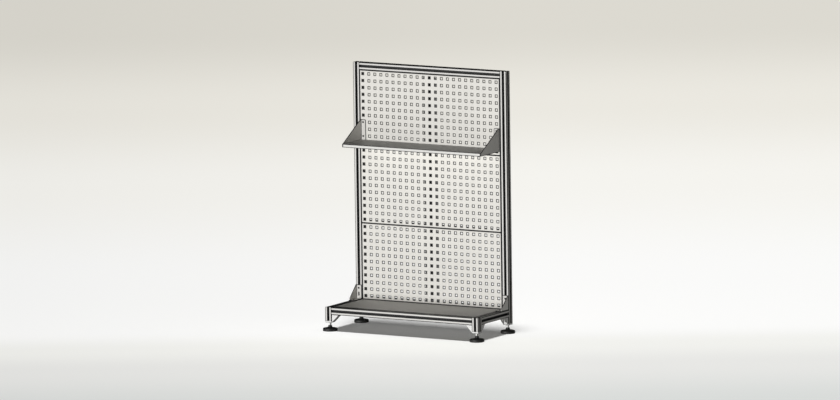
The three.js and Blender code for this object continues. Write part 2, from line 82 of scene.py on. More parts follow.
UPRIGHT_LOW, UPRIGHT_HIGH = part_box("upright_right")
PROFILE_HALF = (UPRIGHT_HIGH.x - UPRIGHT_LOW.x) / 2
AXIS_X = UPRIGHT_LOW.x + PROFILE_HALF
AXIS_Y = UPRIGHT_LOW.y + PROFILE_HALF
RAIL_LEVELS = [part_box(name)[1].z - PROFILE_HALF for name in ("base_rail_front", "top_rail")]
SLOT_HALF = 4.1 * MM                     # half the mouth of a slot
SLOT_LIP = 2 * MM                        # how deep into a slot the metal stays clean, before painted shade begins
SLOT_LINE_WIDTH = 3.8 * MM                     # width of the dark line along a slot or a corner

EDGE_LINE_WIDTH = 3.2 * MM                     # width of the dark line along a sheet's edge
LINE_BLUR = 0.4 * MM
EDGE_REACH = 6 * MM                      # how far the darkening round a cast edge is felt
EDGE_TURN = (0.90, 0.98)                 # cosines of the turn where it is whole, and gone
EDGE_DARK = 0.95
UPWARD = (0.6, 0.95)                     # how far a face looks up before painted shade darkens it
# near-black of the dark lines along edges, and of the painted shade in slots and round holes
LINE_AND_SHADE_BLACK = (0.016, 0.016, 0.0155, 1.0)
# near-black grey of the painted shade on aluminium faces that look up
TOP_SHADE_GREY = (0.10, 0.099, 0.096, 1.0)

# ------------------------------------------------------------------ camera

VIEW_AZIMUTH = math.radians(30.234)      # the camera stands to the right of the front
VIEW_ELEVATION = math.radians(8.253)
VIEW_ROLL = math.radians(-0.769)
VIEW_WIDTH = 4.562                       # width of the picture at the panels
VIEW_CENTRE = Vector((0.0, 0.147, 0.760))
VIEW_OFFSET = (-0.05817, -0.0555)        # the picture's middle from that centre: right, up
LENS = 600.0
SENSOR = 36.0
CLIP = (1.0, 400.0)


def add_camera():
    """A long lens, so that parallel edges stay parallel."""
    ca, sa = math.cos(VIEW_AZIMUTH), math.sin(VIEW_AZIMUTH)
    ce, se = math.cos(VIEW_ELEVATION), math.sin(VIEW_ELEVATION)
    back = Vector((sa * ce, -ca * ce, se))
    level_right = Vector((0, 0, 1)).cross(back).normalized()
    level_up = back.cross(level_right)
    right = math.cos(VIEW_ROLL) * level_right + math.sin(VIEW_ROLL) * level_up
    up = math.cos(VIEW_ROLL) * level_up - math.sin(VIEW_ROLL) * level_right
    target = VIEW_CENTRE + VIEW_OFFSET[0] * right + VIEW_OFFSET[1] * up
    data = bpy.data.cameras.new("camera")
    data.lens, data.sensor_width = LENS, SENSOR
    data.clip_start, data.clip_end = CLIP
    camera = bpy.data.objects.new("camera", data)
    turn = Matrix((right, up, back)).transposed().to_4x4()
    camera.matrix_world = Matrix.Translation(target + back * VIEW_WIDTH * LENS / SENSOR) @ turn
    bpy.context.scene.collection.objects.link(camera)
    bpy.context.scene.camera = camera


# ------------------------------------------------------------------ materials

class Nodes:
    """A node material being put together."""

    def __init__(self, name):
        self.material = bpy.data.materials.new(name)
        self.material.use_nodes = True
        self.tree = self.material.node_tree
        self.shader = self.tree.nodes["Principled BSDF"]

    def add(self, kind, inputs=None, **settings):
        node = self.tree.nodes.new(kind)
        for key, value in settings.items():
            setattr(node, key, value)
        for key, value in (inputs or {}).items():
            self.feed(node.inputs[key], value)
        return node

    def feed(self, socket, value):
        if isinstance(value, bpy.types.NodeSocket):
            self.tree.links.new(value, socket)
        else:
            socket.default_value = value

    def place(self, scale):
        """Position in the piece, stretched by scale along each axis, in 1/m."""
        where = self.add("ShaderNodeTexCoord").outputs["Object"]
        return self.add("ShaderNodeMapping", {"Vector": where, "Scale": scale}).outputs["Vector"]

    def noise(self, scale, detail=3.0, roughness=0.5):
        scale = scale if isinstance(scale, tuple) else (scale,) * 3
        return self.add("ShaderNodeTexNoise", {
            "Vector": self.place(scale), "Scale": 1.0, "Detail": detail, "Roughness": roughness,
        }).outputs["Fac"]

    def spread(self, value, low, high, at=(0.3, 0.7)):
        """value from at[0] to at[1], mapped to the range low to high."""
        return self.add("ShaderNodeMapRange", {
            "Value": value, "From Min": at[0], "From Max": at[1], "To Min": low, "To Max": high,
        }).outputs["Result"]

    def maths(self, operation, *values):
        node = self.add("ShaderNodeMath", operation=operation)
        for socket, value in zip(node.inputs, values):
            self.feed(socket, value)
        return node.outputs["Value"]

    def blend(self, share, first, second):
        """The colour first where share is 0, and second where it is 1."""
        node = self.add("ShaderNodeMix", data_type="RGBA")
        colours = [socket for socket in node.inputs if socket.type == "RGBA"]
        self.feed(node.inputs["Factor"], share)
        self.feed(colours[0], first)
        self.feed(colours[1], second)
        return next(socket for socket in node.outputs if socket.type == "RGBA")

    def scaled(self, colour, strength):
        """A colour socket made weaker or stronger."""
        scale = self.add("ShaderNodeVectorMath", operation="SCALE")
        self.feed(scale.inputs[0], colour)
        self.feed(scale.inputs["Scale"], strength)
        return scale.outputs["Vector"]

    def openness(self, reach):
        """1 on open faces, towards 0 in slots and corners narrower than reach."""
        return self.add("ShaderNodeAmbientOcclusion", {"Distance": reach}, samples=8).outputs["AO"]

    def edges(self, reach):
        """1 along sharp outer edges, falling to 0 within reach from them."""
        rounded = self.add("ShaderNodeBevel", {"Radius": reach}, samples=8).outputs["Normal"]
        turn = self.add("ShaderNodeVectorMath", operation="DOT_PRODUCT")
        self.feed(turn.inputs[0], rounded)
        self.feed(turn.inputs[1], self.add("ShaderNodeNewGeometry").outputs["Normal"])
        agree = self.maths("ABSOLUTE", turn.outputs["Value"])
        return self.spread(agree, EDGE_DARK, 0.0, EDGE_TURN)

    def position(self):
        """Sockets X, Y and Z of the place in the unit."""
        where = self.add("ShaderNodeTexCoord").outputs["Object"]
        return self.add("ShaderNodeSeparateXYZ", {"Vector": where}).outputs

    def line(self, distance, width):
        """1 within width of where distance is 0, and 0 beyond."""
        return self.spread(distance, 1.0, 0.0, (width - LINE_BLUR, width + LINE_BLUR))

    def least(self, *distances):
        """The smallest of several values."""
        return functools.reduce(lambda a, b: self.maths("MINIMUM", a, b), distances)

    def upward(self):
        """1 on faces that look up, where painted shade lies, and 0 on the others."""
        normal = self.add("ShaderNodeNewGeometry").outputs["Normal"]
        height = self.add("ShaderNodeSeparateXYZ", {"Vector": normal}).outputs["Z"]
        return self.spread(height, 0.0, 1.0, UPWARD)

    def bump(self, height, distance, strength=1.0):
        inputs = {"Height": height, "Distance": distance, "Strength": strength}
        return self.add("ShaderNodeBump", inputs).outputs["Normal"]

    def finish(self, **values):
        for key, value in values.items():
            self.feed(self.shader.inputs[key.replace("_", " ")], value)
        return self.material


def shade(colour, factor):
    """A colour made darker or lighter, with its alpha."""
    return tuple(min(1.0, c * factor) for c in colour[:3]) + (1.0,)


CLOUD_SCALE = 7.0                        # faint patches in a coat, per metre
PEEL_SCALE = 850.0                       # orange peel in a coat, per metre
PEEL_DEPTH = 0.12 * MM


def coat_finish(n, tint, cloud):
    """Satin powder coat with orange peel."""
    peel = n.bump(n.noise(PEEL_SCALE, 2.0), PEEL_DEPTH, 0.5)
    return n.finish(Base_Color=tint, Roughness=n.spread(cloud, 0.46, 0.58), Normal=peel,
                    Specular_IOR_Level=0.3)


def powder_coat(name, colour, edge_line=None, top_shade=None):
    """Fine-texture powder coat, with painted shade on faces that look up, and dark lines along the
    sheet's edges.

    edge_line is a function that adds the nodes for those lines to the material.
    """
    n = Nodes(name)
    cloud = n.noise(CLOUD_SCALE, 4.0)
    # painted shade: faces that look up take the darker top colour, as light falls from the front
    coat = n.blend(n.upward(), (*colour, 1.0), (*(top_shade or colour), 1.0))
    tint = n.scaled(coat, n.spread(cloud, 0.965, 1.02))
    if edge_line:
        tint = n.blend(edge_line(n), tint, LINE_AND_SHADE_BLACK)
    return coat_finish(n, tint, cloud)


def box_edges(node):
    """Lines along the twelve edges of a folded tray."""
    low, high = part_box(node)

    def edge_line(n):
        position = n.position()
        first, second, third = [
            n.least(n.maths("SUBTRACT", position[axis], low[k]),
                    n.maths("SUBTRACT", high[k], position[axis]))
            for k, axis in enumerate("XYZ")]
        nearer, further = n.least(first, second), n.maths("MAXIMUM", first, second)
        from_edge = n.maths("MAXIMUM", nearer, n.least(further, third))
        return n.line(from_edge, EDGE_LINE_WIDTH)
    return edge_line


def bracket_edges(node, sheet, nose, tip):
    """Lines round a triangular web on the outer side of a bracket, and round its flanges."""
    low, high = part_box(node)
    run, rise = high.y - tip - low.y, high.z - low.z - nose
    slope = math.hypot(run, rise)

    def edge_line(n):
        position = n.position()
        outward = n.maths("ABSOLUTE", position["X"])
        from_front = n.maths("SUBTRACT", position["Y"], low.y)
        from_back = n.maths("SUBTRACT", high.y, position["Y"])
        from_foot = n.maths("SUBTRACT", position["Z"], low.z)
        from_top = n.maths("SUBTRACT", high.z, position["Z"])
        from_slope = n.maths("SUBTRACT", n.maths("MULTIPLY", from_front, rise / slope),
                             n.maths("MULTIPLY", n.maths("SUBTRACT", from_foot, nose), run / slope))
        web = n.least(from_front, from_back, from_foot, from_top, from_slope)
        flange = n.least(from_front, from_top, n.maths("SUBTRACT", outward, low.x),
                         n.maths("SUBTRACT", high.x - sheet, outward))
        on_web = n.spread(outward, 0.0, 1.0, (high.x - sheet - 0.3 * MM, high.x - sheet - 0.1 * MM))
        return n.maths("ADD", n.maths("MULTIPLY", n.line(web, EDGE_LINE_WIDTH), on_web),
                       n.maths("MULTIPLY", n.line(flange, EDGE_LINE_WIDTH),
                               n.maths("SUBTRACT", 1.0, on_web)))
    return edge_line


def from_axis(n, axis, position):
    """Distance along one axis from the nearest profile's centre line."""
    if axis == "Z":
        lower, upper = [n.maths("ABSOLUTE", n.maths("SUBTRACT", position, level))
                        for level in RAIL_LEVELS]
        return n.maths("MINIMUM", lower, upper)
    centre = AXIS_X if axis == "X" else AXIS_Y
    return n.maths("ABSOLUTE", n.maths("SUBTRACT", n.maths("ABSOLUTE", position), centre))


DIE_SCALE = 1100.0                       # die lines across an extrusion, per metre
DIE_DEPTH = 0.06 * MM


def anodised(name, colour, along):
    """Extruded, clear anodised aluminium: die lines along its length, dark lines along slots and
    corners, painted shade in slots and on tops.
    """
    n = Nodes(name)
    axes = n.position()
    first, second = [from_axis(n, axis, axes[axis]) for axis in "XYZ" if axis != along]
    across, outward = n.maths("MINIMUM", first, second), n.maths("MAXIMUM", first, second)
    from_line = n.maths("MINIMUM", n.maths("SUBTRACT", PROFILE_HALF, across),
                        n.maths("SUBTRACT", across, SLOT_HALF))
    # painted shade deeper than the lip inside each slot, with dark lines along slot mouths and
    # outer corners
    slot_shade_and_lines = n.maths("MAXIMUM", n.line(from_line, SLOT_LINE_WIDTH),
                    n.line(outward, PROFILE_HALF - SLOT_LIP))
    lines = n.noise(tuple(4.0 if axis == along else DIE_SCALE for axis in "XYZ"), 2.0)
    broad = n.noise(tuple(1.5 if axis == along else 90.0 for axis in "XYZ"), 2.0)
    tint = n.blend(n.spread(broad, 0.0, 1.0), shade(colour, 0.93), shade(colour, 1.04))
    # painted shade: faces that look up are darkened
    tint = n.blend(n.upward(), tint, TOP_SHADE_GREY)
    tint = n.blend(slot_shade_and_lines, tint, LINE_AND_SHADE_BLACK)
    return n.finish(Base_Color=tint, Metallic=n.spread(slot_shade_and_lines, 0.35, 0.0, (0.0, 1.0)),
                    Roughness=n.spread(lines, 0.34, 0.5), Normal=n.bump(lines, DIE_DEPTH, 0.5),
                    Specular_IOR_Level=0.2)


def cast_metal(name, colour):
    """Tumbled die casting: fine skin, faint stains, dark along its edges."""
    n = Nodes(name)
    skin = n.noise(420.0, 4.0, 0.6)
    stain = n.noise(60.0, 3.0)
    tint = n.blend(n.spread(stain, 0.0, 1.0), shade(colour, 0.88), shade(colour, 1.05))
    tint = n.blend(n.edges(EDGE_REACH), tint, LINE_AND_SHADE_BLACK)
    return n.finish(Base_Color=tint, Metallic=0.3, Roughness=n.spread(skin, 0.45, 0.68),
                    Normal=n.bump(skin, 0.2 * MM, 0.6))


def plated(name, colour, roughness):
    """Plated or blackened steel."""
    n = Nodes(name)
    film = n.noise(130.0, 3.0)
    tint = n.blend(n.spread(film, 0.0, 1.0), shade(colour, 0.9), shade(colour, 1.08))
    fine = n.noise(1600.0, 2.0)
    return n.finish(Base_Color=tint, Metallic=1.0, Normal=n.bump(fine, 0.03 * MM, 0.4),
                    Roughness=n.spread(film, roughness - 0.06, roughness + 0.08))


def moulded(name, colour, roughness):
    """Spark-eroded moulded plastic with light scuffs."""
    n = Nodes(name)
    grain = n.noise(1500.0, 2.0)
    scuff = n.noise((160.0, 160.0, 420.0), 5.0, 0.7)
    tint = n.blend(n.spread(scuff, 0.0, 1.0, (0.6, 0.8)), (*colour, 1.0), shade(colour, 2.6))
    return n.finish(Base_Color=tint, Normal=n.bump(grain, 0.1 * MM, 0.6),
                    Roughness=n.spread(scuff, roughness - 0.06, roughness + 0.14))


def perforated_coat(name, colour):
    """Powder coat on the panels, with painted shade inside the trays, dark lines along the edges,
    and a dark rim round each square hole that is partly painted shade.
    """
    n = Nodes(name)
    axes = n.position()
    height = n.maths("FLOORED_MODULO", n.maths("SUBTRACT", axes["Z"], PANEL_BOTTOM), PANEL_STEP)
    across = n.maths("PINGPONG", axes["X"], HOLE_PITCH / 2)
    up = n.maths("PINGPONG", n.maths("SUBTRACT", height, PANEL_MARGIN), HOLE_PITCH / 2)
    behind_sheet = n.maths("SUBTRACT", axes["Y"], PANEL_LOW.y + PANEL_SHEET)
    from_hole = n.maths("MAXIMUM", behind_sheet,
                        n.maths("SUBTRACT", n.maths("MAXIMUM", across, up), HOLE_SIZE / 2))
    from_end = n.maths("SUBTRACT", PANEL_HIGH.z - PANEL_BOTTOM, height)
    from_side = n.maths("SUBTRACT", PANEL_HIGH.x, n.maths("ABSOLUTE", axes["X"]))
    from_edge = n.least(from_hole, height, from_end, from_side)
    # dark rim round each hole and along the panel's edges; round the holes it is partly painted
    # shade from inside the hole
    wobble = n.spread(n.noise(500.0, 3.0), -RIM_WOBBLE, RIM_WOBBLE)
    dark_rim = n.spread(n.maths("ADD", from_edge, wobble), 1.0, 0.0,
                      (RIM_DARK_WIDTH * RIM_SOLID, RIM_DARK_WIDTH))
    cloud = n.noise(CLOUD_SCALE, 4.0)
    tint = n.blend(n.spread(cloud, 0.0, 1.0), shade(colour, 0.965), shade(colour, 1.02))
    shaded = n.spread(n.openness(TRAY_REACH), 1.0, 0.0, TRAY_OPENNESS)
    tint = n.blend(shaded, tint, shade(colour, TRAY_SHADE))
    tint = n.blend(dark_rim, tint, LINE_AND_SHADE_BLACK)
    return coat_finish(n, tint, cloud)


PANEL_GREY = (0.90, 0.88, 0.83)
# painted shade: the stiffeners are near black, as only shade is seen of them through the holes
STIFFENER_SHADE_GREY = (0.10, 0.10, 0.098)
SHELF_GREY = (0.88, 0.87, 0.84)
# painted shade: the darker colours that the tops of the shelf and the deck take
SHELF_TOP_SHADE = (0.47, 0.462, 0.445)
DECK_TOP_SHADE = (0.68, 0.665, 0.64)
BRACKET_GREY = (0.78, 0.765, 0.73)
ALUMINIUM = (0.57, 0.56, 0.54)

PANEL_PAINT = perforated_coat("panel_paint", PANEL_GREY)
# painted shade: a near-black coat on the stiffeners behind the holes
STIFFENER_SHADE_PAINT = powder_coat("stiffener_paint", STIFFENER_SHADE_GREY)
SHELF_PAINT = powder_coat("shelf_paint", SHELF_GREY, box_edges("shelf"), SHELF_TOP_SHADE)
DECK_PAINT = powder_coat("deck_paint", SHELF_GREY, box_edges("deck"), DECK_TOP_SHADE)
SHELF_BRACKET_PAINT = powder_coat("shelf_bracket_paint", BRACKET_GREY, bracket_edges(
    "shelf_bracket_right", sheet=3 * MM, nose=16 * MM, tip=8 * MM))
GUSSET_PAINT = powder_coat("gusset_paint", BRACKET_GREY, bracket_edges(
    "gusset_bracket_right", sheet=4 * MM, nose=11 * MM, tip=7 * MM))
ALUMINIUM_ALONG = {axis: anodised(f"anodised_{axis.lower()}", ALUMINIUM, axis) for axis in "XYZ"}
CAST = cast_metal("cast_aluminium", (0.80, 0.795, 0.78))
BLACK_OXIDE = plated("black_oxide", (0.035, 0.035, 0.035), 0.42)
ZINC = plated("zinc_plate", (0.44, 0.44, 0.43), 0.34)
FOOT_PLASTIC = moulded("foot_plastic", (0.018, 0.018, 0.017), 0.5)
CUP_PLASTIC = moulded("cup_plastic", (0.05, 0.05, 0.048), 0.35)


def paint_nodes(material, *names, edge=0.0):
    """Gives CAD nodes their material, and rounds their edges by edge metres."""
    for name in names:
        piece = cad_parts[name]
        piece.data.materials.clear()
        piece.data.materials.append(material)
        if edge:
            weld = piece.modifiers.new("weld", "WELD")
            weld.merge_threshold = 0.01 * MM
            bevel = piece.modifiers.new("edges", "BEVEL")
            bevel.width, bevel.segments = edge, 2
            bevel.limit_method, bevel.angle_limit = "ANGLE", math.radians(30)


def finish_cad_nodes():
    """Materials and softened edges for the pieces whose CAD shape stays."""
    paint_nodes(ALUMINIUM_ALONG["Z"], *[f"upright_{s}" for s in SIDES],
                *[f"front_leg_{s}" for s in SIDES], edge=0.3 * MM)
    paint_nodes(ALUMINIUM_ALONG["Y"], *[f"base_rail_{s}" for s in SIDES], edge=0.3 * MM)
    paint_nodes(ALUMINIUM_ALONG["X"], "base_rail_front", "base_rail_rear", "top_rail",
                edge=0.3 * MM)
    paint_nodes(CAST, *[f"foot_plate_{f}" for f in FEET], edge=0.4 * MM)
    paint_nodes(CAST, *[f"corner_bracket_front_{s}" for s in SIDES],
                *[f"corner_bracket_side_{e}_{s}" for e in ENDS for s in SIDES], edge=0.6 * MM)
    paint_nodes(PANEL_PAINT, *[f"panel_{level}" for level in LEVELS])
    paint_nodes(STIFFENER_SHADE_PAINT, *[f"panel_stiffener_{level}" for level in LEVELS],
                edge=0.6 * MM)
    paint_nodes(SHELF_PAINT, "shelf", edge=0.9 * MM)
    paint_nodes(DECK_PAINT, "deck", edge=0.9 * MM)
    paint_nodes(SHELF_BRACKET_PAINT, *[f"shelf_bracket_{s}" for s in SIDES], edge=0.5 * MM)
    paint_nodes(GUSSET_PAINT, *[f"gusset_bracket_{s}" for s in SIDES], edge=0.5 * MM)
    paint_nodes(ZINC, *[f"gusset_nut_{s}_{k}" for s in SIDES for k in ("upright", "rail")],
                edge=0.3 * MM)


# ------------------------------------------------------------------ fittings

ROUND_SIDES = 48
TURN = 2 * math.pi
HEX_TURN = math.pi / 3
CHAMFER_SLOPE = math.tan(math.radians(30))


class Shape:
    """The points and faces of one piece, made of closed lofts."""

    def __init__(self):
        self.points, self.faces = [], []

    def loft(self, rings, hollow=False):
        """Joins rings of equal length; a hollow loft meets itself, another gets flat ends."""
        first, count = len(self.points), len(rings[0])
        for ring in rings:
            self.points.extend(ring)
        spans = len(rings) if hollow else len(rings) - 1
        for k in range(spans):
            low, high = first + k * count, first + (k + 1) % len(rings) * count
            for i in range(count):
                j = (i + 1) % count
                self.faces.append((low + i, low + j, high + j, high + i))
        if not hollow:
            last = first + (len(rings) - 1) * count
            self.faces.append(tuple(first + i for i in reversed(range(count))))
            self.faces.append(tuple(last + i for i in range(count)))

    def piece(self, name, material, slot, body, node, matrix):
        """The shape as an object that rides on body and stands for a CAD node."""
        mesh = bpy.data.meshes.new(name)
        mesh.from_pydata([matrix @ Vector(p) for p in self.points], [], self.faces)
        mesh.materials.append(material)
        mesh.shade_smooth()
        mesh.set_sharp_from_angle(angle=math.radians(32))
        obj = bpy.data.objects.new(name, mesh)
        bpy.context.scene.collection.objects.link(obj)
        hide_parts(node)
        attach(obj, body)
        return obj


def circle(radius, height, sides=ROUND_SIDES):
    """A ring about the axis."""
    return [(radius * math.cos(TURN * i / sides), radius * math.sin(TURN * i / sides), height)
            for i in range(sides)]


def hexagon(half_flats, height, flat_radius=None, lean=0):
    """A hexagon; with a flat radius, its corners lean away as a 30 degree chamfer leaves them."""
    ring = []
    for i in range(ROUND_SIDES):
        angle = TURN * i / ROUND_SIDES
        radius = half_flats / math.cos(angle % HEX_TURN - HEX_TURN / 2)
        drop = lean * (radius - flat_radius) * CHAMFER_SLOPE if lean else 0.0
        ring.append((radius * math.cos(angle), radius * math.sin(angle), height + drop))
    return ring


def in_mm(*points):
    """(radius, height) points given in millimetres."""
    return [(radius * MM, height * MM) for radius, height in points]


def arc(radius, centre, start, stop, steps):
    """(radius, height) points of a circle about a point on the axis, by angle from the top."""
    angles = [math.radians(start + (stop - start) * i / steps) for i in range(steps + 1)]
    return [(max(radius * math.sin(a), 0.05 * MM), centre + radius * math.cos(a)) for a in angles]


def softened(corners, steps=5):
    """A smooth line through (radius, height) corners."""
    line = []
    ends = [corners[0]] + corners + [corners[-1]]
    for before, start, stop, after in zip(ends, ends[1:], ends[2:], ends[3:]):
        for i in range(steps):
            t = i / steps
            line.append(tuple(0.5 * (2 * b + (c - a) * t + (2 * a - 5 * b + 4 * c - d) * t * t
                                     + (3 * b - a - 3 * c + d) * t ** 3)
                              for a, b, c, d in zip(before, start, stop, after)))
    return line + [corners[-1]]


def thread(shape, radius, pitch, low, high):
    """A right-hand V thread as a ridge wound from low to high; returns the radius at its root."""
    depth, steps = 0.61 * pitch, 24      # a metric thread's depth, and steps to a turn
    core = radius - depth - 0.05 * MM
    section = [(core, -0.44 * pitch), (radius, -0.06 * pitch), (radius, 0.06 * pitch),
               (core, 0.44 * pitch)]
    rings = []
    for k in range(int((high - low) / pitch * steps) + 1):
        angle, height = TURN * k / steps, low + pitch * k / steps
        rings.append([(r * math.cos(angle), r * math.sin(angle), height + dz)
                      for r, dz in section])
    shape.loft(rings)
    return radius - depth


# levelling feet, in each foot's own frame: its axis is X = Y = 0
BALL_CENTRE = 16 * MM
BALL_RADIUS = 7 * MM
CUP_RADIUS = 9.3 * MM
CUP_OPENING = 55
HEX_LOW, HEX_HIGH = 33 * MM, 43 * MM
SPINDLE_TOP = 100 * MM
SPINDLE_RADIUS = 6 * MM
SPINDLE_PITCH = 1.75 * MM
THREAD_SHOWN = 74 * MM


def foot_pad():
    """Black moulded base: grooved sole, thin rim, domed top and collar, with the ball's socket."""
    grooves = []
    for radius in (12, 18, 24, 30):
        grooves += in_mm((radius, 0), (radius + 0.6, 0.8), (radius + 2.4, 0.8), (radius + 3, 0))
    rim = in_mm((38.4, 0), (39.4, 0.4), (40, 1.4), (40, 12.3), (39.5, 13.7), (38.4, 14.6),
                (37, 14.8))
    dome = softened(in_mm((36.4, 15.2), (32, 16.3), (26, 17.7), (18, 19.4), (13.6, 20.7),
                          (11.7, 23), (10.8, 27), (10.4, 29.2)))
    collar = in_mm((9.8, 30), (8.0, 30), (7.5, 29.4))
    socket = arc(CUP_RADIUS + 0.5 * MM, BALL_CENTRE, CUP_OPENING, 180, 14)
    shape = Shape()
    shape.loft([circle(r, z, 96) for r, z in grooves + rim + dome + collar + socket])
    return shape


def foot_cup():
    """Thin plastic cup between the ball and its socket."""
    shape = Shape()
    shape.loft([circle(r, z) for r, z in arc(CUP_RADIUS, BALL_CENTRE, 180, CUP_OPENING, 14)
                + arc(BALL_RADIUS + 0.25 * MM, BALL_CENTRE, CUP_OPENING, 180, 14)], hollow=True)
    return shape


def foot_spindle():
    """Ball, waisted neck, spanner hexagon and threaded rod."""
    neck = 4.5 * MM
    neck_angle = math.degrees(math.asin(neck / BALL_RADIUS))
    half_flats = 7 * MM
    crown = half_flats * 0.95
    shape = Shape()
    core = thread(shape, SPINDLE_RADIUS, SPINDLE_PITCH, HEX_HIGH - 1 * MM, THREAD_SHOWN)
    lower = [circle(r, z) for r, z in arc(BALL_RADIUS, BALL_CENTRE, 180, neck_angle, 12)]
    lower += [circle(neck, HEX_LOW - 1 * MM), circle(neck + 0.4 * MM, HEX_LOW),
              circle(crown, HEX_LOW), hexagon(half_flats, HEX_LOW, crown, 1),
              hexagon(half_flats, HEX_HIGH, crown, -1), circle(crown, HEX_HIGH)]
    upper = [circle(core, HEX_HIGH), circle(core, THREAD_SHOWN - SPINDLE_PITCH),
             circle(SPINDLE_RADIUS, THREAD_SHOWN - SPINDLE_PITCH / 2),
             circle(SPINDLE_RADIUS, SPINDLE_TOP - 1.2 * MM),
             circle(SPINDLE_RADIUS - 1.2 * MM, SPINDLE_TOP)]
    shape.loft(lower + upper)
    return shape


def add_feet():
    """The detailed pad, cup and spindle of every foot, each on its own body."""
    for foot in FEET:
        low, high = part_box(f"foot_pad_{foot}")
        where = Matrix.Translation(((low.x + high.x) / 2, (low.y + high.y) / 2, low.z))
        for kind, shape, material, slot, body in (
            ("pad", foot_pad(), FOOT_PLASTIC, "foot_plastic", "base"),
            ("cup", foot_cup(), CUP_PLASTIC, "cup_plastic", "carrier"),
            ("spindle", foot_spindle(), ZINC, "zinc_steel", "screw"),
        ):
            shape.piece(f"{kind}_{foot}", material, slot, f"foot_{foot}_{body}",
                        f"foot_{kind}_{foot}", where)


# M6 bolts and nuts; the underside of a head or flange is at Z = 0
BOLT_RADIUS = 3 * MM
HEAD_RADIUS = 5.25 * MM
HEAD_HEIGHT = 3.3 * MM


def button_bolt(reach):
    """Button-head bolt with a hexagon socket; the head is above Z = 0."""
    socket = 1.73 * MM
    shape = Shape()
    core = thread(shape, BOLT_RADIUS, 1.0 * MM, -reach + 0.8 * MM, -1.0 * MM)
    shank = [(core - 0.5 * MM, -reach), (core, -reach + 0.5 * MM), (core, -0.9 * MM),
             (BOLT_RADIUS, -0.7 * MM), (BOLT_RADIUS, 0), (HEAD_RADIUS - 0.2 * MM, 0)]
    head = softened([(HEAD_RADIUS, 0.3 * MM), (HEAD_RADIUS * 0.96, 1.3 * MM),
                     (HEAD_RADIUS * 0.84, 2.3 * MM), (HEAD_RADIUS * 0.66, 3.0 * MM),
                     (HEAD_RADIUS * 0.5, HEAD_HEIGHT)], 4)
    shape.loft([circle(r, z) for r, z in shank + head]
               + [hexagon(socket + 0.15 * MM, HEAD_HEIGHT), hexagon(socket, HEAD_HEIGHT - 0.2 * MM),
                  hexagon(socket, HEAD_HEIGHT - 1.9 * MM)])
    return shape


def flange_nut():
    """Hexagon nut with its flange at Z = 0 and the hexagon above."""
    half_flats, bore, height = 5 * MM, BOLT_RADIUS + 0.1 * MM, 5 * MM
    crown = half_flats * 0.94
    shape = Shape()
    shape.loft([
        circle(bore + 0.3 * MM, 0), circle(6.6 * MM, 0), circle(7.0 * MM, 0.3 * MM),
        circle(6.9 * MM, 0.8 * MM), circle(6.0 * MM, 1.2 * MM), hexagon(half_flats, 1.6 * MM),
        hexagon(half_flats, height, crown, -1), circle(crown, height),
        circle(bore + 0.3 * MM, height), circle(bore, height - 0.4 * MM), circle(bore, 0.4 * MM),
    ], hollow=True)
    return shape


def add_fasteners():
    """The shelf's bolts and nuts, and the gussets' screws, where the CAD has them."""
    to_front = Matrix.Rotation(math.radians(90), 4, "X")      # a head towards -Y
    to_back = Matrix.Rotation(math.radians(-90), 4, "X")      # a nut towards +Y
    for side in SIDES:
        for level in ("lower", "upper"):
            low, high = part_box(f"shelf_bolt_{side}_{level}")
            middle = Vector(((low.x + high.x) / 2, low.y + HEAD_HEIGHT, (low.z + high.z) / 2))
            button_bolt(high.y - middle.y).piece(
                f"bolt_{side}_{level}", BLACK_OXIDE, "black_oxide_steel", FRAME_BODY,
                f"shelf_bolt_{side}_{level}", Matrix.Translation(middle) @ to_front)
            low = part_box(f"shelf_nut_{side}_{level}")[0]
            middle.y = low.y
            flange_nut().piece(f"nut_{side}_{level}", ZINC, "zinc_steel", FRAME_BODY,
                               f"shelf_nut_{side}_{level}", Matrix.Translation(middle) @ to_back)
        for place, turn in (("upright", to_front), ("rail", Matrix.Identity(4))):
            node = f"gusset_screw_{side}_{place}"
            low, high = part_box(node)
            middle = (low + high) / 2
            if place == "upright":
                middle.y = low.y + HEAD_HEIGHT
                reach = high.y - middle.y
            else:
                middle.z = high.z - HEAD_HEIGHT
                reach = middle.z - low.z
            button_bolt(reach).piece(f"screw_{side}_{place}", BLACK_OXIDE, "black_oxide_steel",
                                     FRAME_BODY, node, Matrix.Translation(middle) @ turn)


# ------------------------------------------------------------------ floor and light

FLOOR_TONES = [                          # (metres beyond the unit's middle, colour)
    (-2.6, (0.67, 0.69, 0.675)),
    (-1.2, (0.78, 0.78, 0.76)),
    (-0.5, (0.86, 0.86, 0.83)),
    (0.1, (0.94, 0.94, 0.93)),
    (2.0, (0.93, 0.93, 0.92)),
    (5.7, (0.89, 0.88, 0.84)),
    (9.0, (0.81, 0.79, 0.73)),
    (12.5, (0.70, 0.68, 0.62)),
]
FLOOR_HALF = 150.0
FLOOR_DULL = (-2.3, 0.7, 0.925)          # from left to right in metres, and how dull at the left
FLOOR_AMBIENT = 0.14                     # share of the floor's brightness that has no shadow
FLOOR_BOUNCE = (0.34, 0.34, 0.33)        # what the floor gives back to the unit
HORIZON = 0.1                            # half the band between upper and lower ambience


